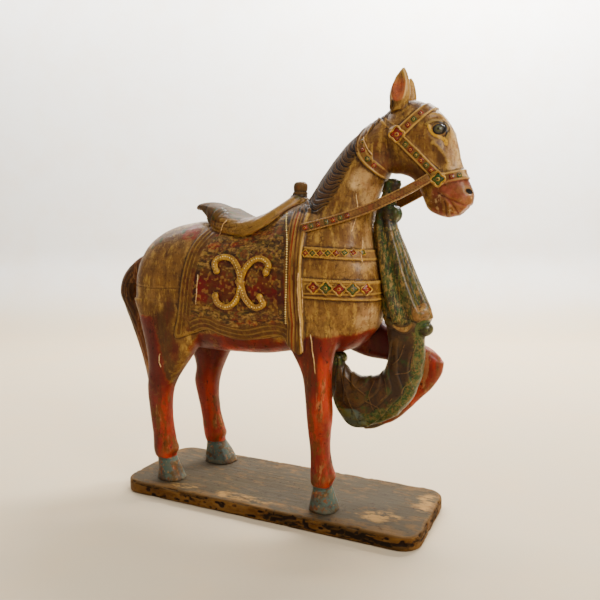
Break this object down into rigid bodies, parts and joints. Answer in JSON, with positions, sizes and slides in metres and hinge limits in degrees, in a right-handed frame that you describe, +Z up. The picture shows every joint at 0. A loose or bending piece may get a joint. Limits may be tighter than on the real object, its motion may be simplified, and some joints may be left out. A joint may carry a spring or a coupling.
{
  "type": "painted horse statue",
  "caption": "Carved and painted wooden horse with saddle, bridle and neck scarf, one foreleg raised, standing on a low rounded plinth.",
  "frame": {"origin": "middle of the plinth's underside", "axes": "+X where the horse looks, +Y to its left, +Z up"},
  "size_m": [0.8379, 0.245, 0.895],
  "materials": {
    "painted_wood": "worn paint",
    "plinth_wood": "worn dark paint",
    "scarf_wood": "worn green and gold paint",
    "rein_wood": "worn gold paint"
  },
  "bodies": {
    "root": {"plinth": "plinth_wood", "horse": "painted_wood", "hanging_scarf": "scarf_wood", "rein_right": "rein_wood", "rein_left": "rein_wood"}
  },
  "joints": []
}
